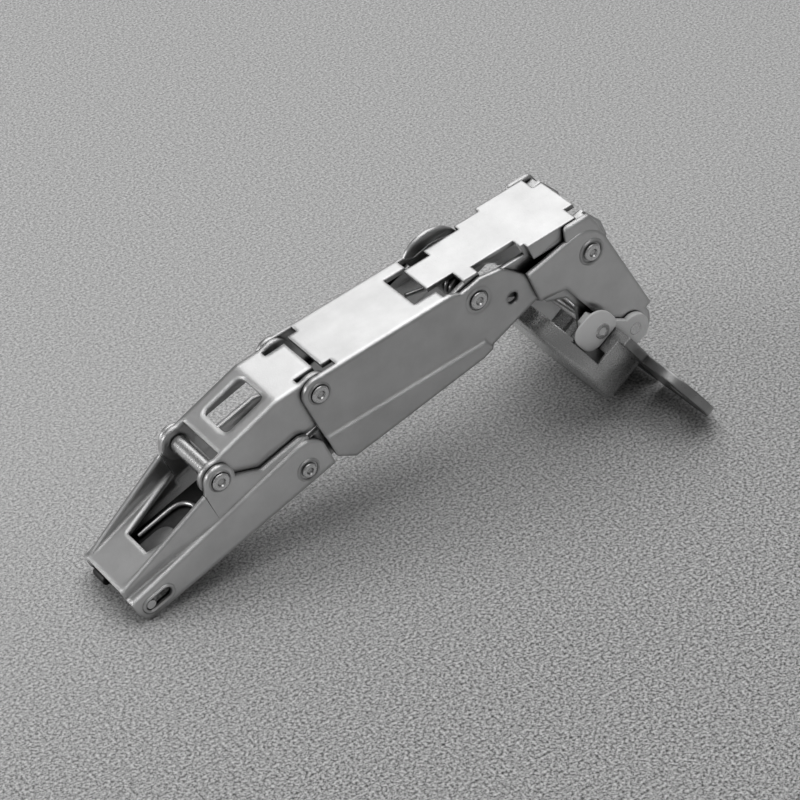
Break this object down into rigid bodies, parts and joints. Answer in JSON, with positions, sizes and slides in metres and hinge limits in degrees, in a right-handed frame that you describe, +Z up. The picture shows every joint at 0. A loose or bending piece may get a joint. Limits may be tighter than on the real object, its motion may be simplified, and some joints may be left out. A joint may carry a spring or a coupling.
{
  "type": "concealed hinge",
  "caption": "Wide-angle concealed cabinet hinge with a clip-on arm, crossed levers and a winged cup, standing open as an arch.",
  "frame": {"origin": "centre of the standing hinge's footprint box, on the table", "axes": "+Z up, +X along the hinge from the arm to the cup, +Y away from the camera, along the pivots"},
  "size_m": [0.1422, 0.066, 0.0544],
  "materials": {
    "arm_plating": "nickel-plated, fine satin",
    "latch_plating": "nickel-plated, fine satin",
    "rivet_steel": "bright",
    "spring_wire": "bright",
    "link_plating": "nickel-plated, fine satin",
    "cover_plating": "nickel-plated, fine satin",
    "inner_plating": "nickel-plated, fine satin",
    "cup_plating": "nickel-plated, fine satin",
    "bush_steel": "bright"
  },
  "bodies": {
    "arm": {"hinge_arm": "arm_plating", "arm_pin": "rivet_steel", "arm_bush": "bush_steel", "base_pin": "rivet_steel"},
    "latch": {"latch_slide": "latch_plating", "latch_pin": "rivet_steel", "latch_spring": "spring_wire"},
    "short_link": {"short_link": "link_plating", "rear_bush": "bush_steel"},
    "cover_link": {"cover_link": "cover_plating", "rear_pin": "rivet_steel", "crossing_pin": "rivet_steel"},
    "inner_link": {"inner_link": "inner_plating", "crossing_bush": "bush_steel", "closing_spring": "spring_wire"},
    "cup": {"hinge_cup": "cup_plating", "cup_bracket": "cup_plating", "bracket_rivets": "rivet_steel", "cup_pin": "rivet_steel", "cup_link_rivets": "rivet_steel"},
    "cup_link": {"cup_link_near": "link_plating", "cup_link_far": "link_plating", "front_pin": "rivet_steel", "front_spacers": "bush_steel"}
  },
  "joints": [
    {"name": "arm_pivot", "type": "hinge", "parent": "arm", "child": "short_link", "pos_m": [-0.04579, 0, 0.02645], "axis": [0, -1, 0], "range_deg": [0, 95.64]},
    {"name": "rear_pivot", "type": "hinge", "parent": "short_link", "child": "cover_link", "pos_m": [-0.02, 0, 0.03738], "axis": [0, -1, 0], "range_deg": [-77.1, 0]},
    {"name": "crossing_pivot", "type": "hinge", "parent": "cover_link", "child": "inner_link", "pos_m": [0.02126, 0, 0.0436], "axis": [0, -1, 0], "range_deg": [0, 42.78]},
    {"name": "cup_pivot", "type": "hinge", "parent": "cover_link", "child": "cup", "pos_m": [0.05131, 0, 0.02441], "axis": [0, -1, 0], "range_deg": [0, 146.46]},
    {"name": "cup_link_pivot", "type": "hinge", "parent": "cup", "child": "cup_link", "pos_m": [0.06087, 0, 0.02052], "axis": [0, -1, 0], "range_deg": [-159.56, 0]},
    {"name": "latch_slide", "type": "slide", "parent": "arm", "child": "latch", "axis": [0.9316, 0, 0.3636], "range_m": [0, 0.004], "stiffness_N_per_m": 400, "springref_m": -0.002}
  ],
  "couplings": [
    {"joint": "rear_pivot", "follows": "arm_pivot", "ratio": -0.80563},
    {"joint": "crossing_pivot", "follows": "arm_pivot", "ratio": 0.44678},
    {"joint": "cup_pivot", "follows": "arm_pivot", "ratio": 1.5308},
    {"joint": "cup_link_pivot", "follows": "arm_pivot", "ratio": -1.6678}
  ]
}
